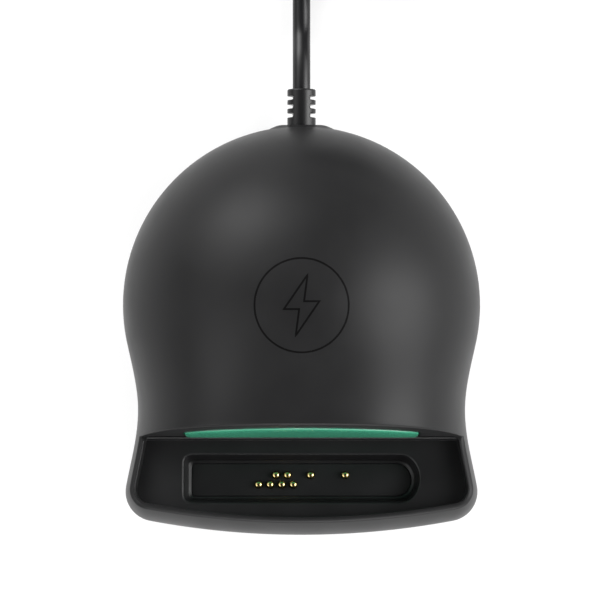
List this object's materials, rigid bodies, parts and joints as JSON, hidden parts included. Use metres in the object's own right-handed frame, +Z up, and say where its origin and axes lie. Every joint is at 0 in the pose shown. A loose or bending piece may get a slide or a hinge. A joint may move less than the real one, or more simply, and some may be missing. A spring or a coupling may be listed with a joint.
{
  "type": "charging dock",
  "caption": "Domed desktop charging dock with a hooded front pocket, keyed contact well with sprung pins, green light window and a captive plugged lead.",
  "frame": {"origin": "bottom centre of the housing, on the desk", "axes": "+Z up, +Y to the rear where the lead leaves, +X to the right as the user faces the pocket"},
  "size_m": [0.1114, 0.1773, 0.047],
  "materials": {
    "soft_touch": "soft-touch charcoal, satin",
    "satin_black": "black moulded plastic, satin",
    "black_nylon": "black moulded plastic, fine texture",
    "green_lens": "translucent emerald plastic, polished",
    "gold": "gold plated",
    "steel": "plain steel",
    "board_green": "green circuit board",
    "led_white": "white moulded plastic",
    "rubber": "black rubber",
    "cord_jacket": "black flexible jacket, satin"
  },
  "bodies": {
    "dock": {"top_shell": "soft_touch", "base_plate": "black_nylon", "cradle_tray": "satin_black", "backrest_panel": "satin_black", "light_window": "green_lens", "contact_block": "satin_black", "contact_board": "board_green", "led_board": "board_green", "main_board": "board_green", "controller_chip": "satin_black", "cord_header": "black_nylon", "ballast_plate": "steel", "contact_ribbon": "board_green", "strain_relief_boot": "black_nylon", "cord": "cord_jacket", "cord_coil": "cord_jacket", "coil_tie": "black_nylon", "cord_tail": "cord_jacket", "plug_body": "black_nylon", "plug_shell": "steel", "plug_tongue": "led_white", "contact_spring_1": "steel", "contact_barrel_1": "gold", "contact_spring_2": "steel", "contact_barrel_2": "gold", "contact_spring_3": "steel", "contact_barrel_3": "gold", "contact_spring_4": "steel", "contact_barrel_4": "gold", "contact_spring_5": "steel", "contact_barrel_5": "gold", "contact_spring_6": "steel", "contact_barrel_6": "gold", "contact_spring_7": "steel", "contact_barrel_7": "gold", "contact_spring_8": "steel", "contact_barrel_8": "gold", "block_screw_1": "steel", "board_screw_1": "steel", "block_screw_2": "steel", "board_screw_2": "steel", "window_led_1": "led_white", "window_led_2": "led_white", "window_led_3": "led_white", "base_screw_1": "steel", "rubber_foot_1": "rubber", "base_screw_2": "steel", "rubber_foot_2": "rubber", "base_screw_3": "steel", "rubber_foot_3": "rubber", "base_screw_4": "steel", "rubber_foot_4": "rubber"},
    "contact_1": {"contact_plunger_1": "gold"},
    "contact_2": {"contact_plunger_2": "gold"},
    "contact_3": {"contact_plunger_3": "gold"},
    "contact_4": {"contact_plunger_4": "gold"},
    "contact_5": {"contact_plunger_5": "gold"},
    "contact_6": {"contact_plunger_6": "gold"},
    "contact_7": {"contact_plunger_7": "gold"},
    "contact_8": {"contact_plunger_8": "gold"}
  },
  "joints": [
    {"name": "contact_1_press", "type": "slide", "parent": "dock", "child": "contact_1", "axis": [0, -0.1564, -0.9877], "range_m": [0, 0.001], "stiffness_N_per_m": 500, "springref_m": -0.0006, "deforming": ["contact_spring_1"]},
    {"name": "contact_2_press", "type": "slide", "parent": "dock", "child": "contact_2", "axis": [0, -0.1564, -0.9877], "range_m": [0, 0.001], "stiffness_N_per_m": 500, "springref_m": -0.0006, "deforming": ["contact_spring_2"]},
    {"name": "contact_3_press", "type": "slide", "parent": "dock", "child": "contact_3", "axis": [0, -0.1564, -0.9877], "range_m": [0, 0.001], "stiffness_N_per_m": 500, "springref_m": -0.0006, "deforming": ["contact_spring_3"]},
    {"name": "contact_4_press", "type": "slide", "parent": "dock", "child": "contact_4", "axis": [0, -0.1564, -0.9877], "range_m": [0, 0.001], "stiffness_N_per_m": 500, "springref_m": -0.0006, "deforming": ["contact_spring_4"]},
    {"name": "contact_5_press", "type": "slide", "parent": "dock", "child": "contact_5", "axis": [0, -0.1564, -0.9877], "range_m": [0, 0.001], "stiffness_N_per_m": 500, "springref_m": -0.0006, "deforming": ["contact_spring_5"]},
    {"name": "contact_6_press", "type": "slide", "parent": "dock", "child": "contact_6", "axis": [0, -0.1564, -0.9877], "range_m": [0, 0.001], "stiffness_N_per_m": 500, "springref_m": -0.0006, "deforming": ["contact_spring_6"]},
    {"name": "contact_7_press", "type": "slide", "parent": "dock", "child": "contact_7", "axis": [0, -0.1564, -0.9877], "range_m": [0, 0.001], "stiffness_N_per_m": 500, "springref_m": -0.0006, "deforming": ["contact_spring_7"]},
    {"name": "contact_8_press", "type": "slide", "parent": "dock", "child": "contact_8", "axis": [0, -0.1564, -0.9877], "range_m": [0, 0.001], "stiffness_N_per_m": 500, "springref_m": -0.0006, "deforming": ["contact_spring_8"]}
  ]
}
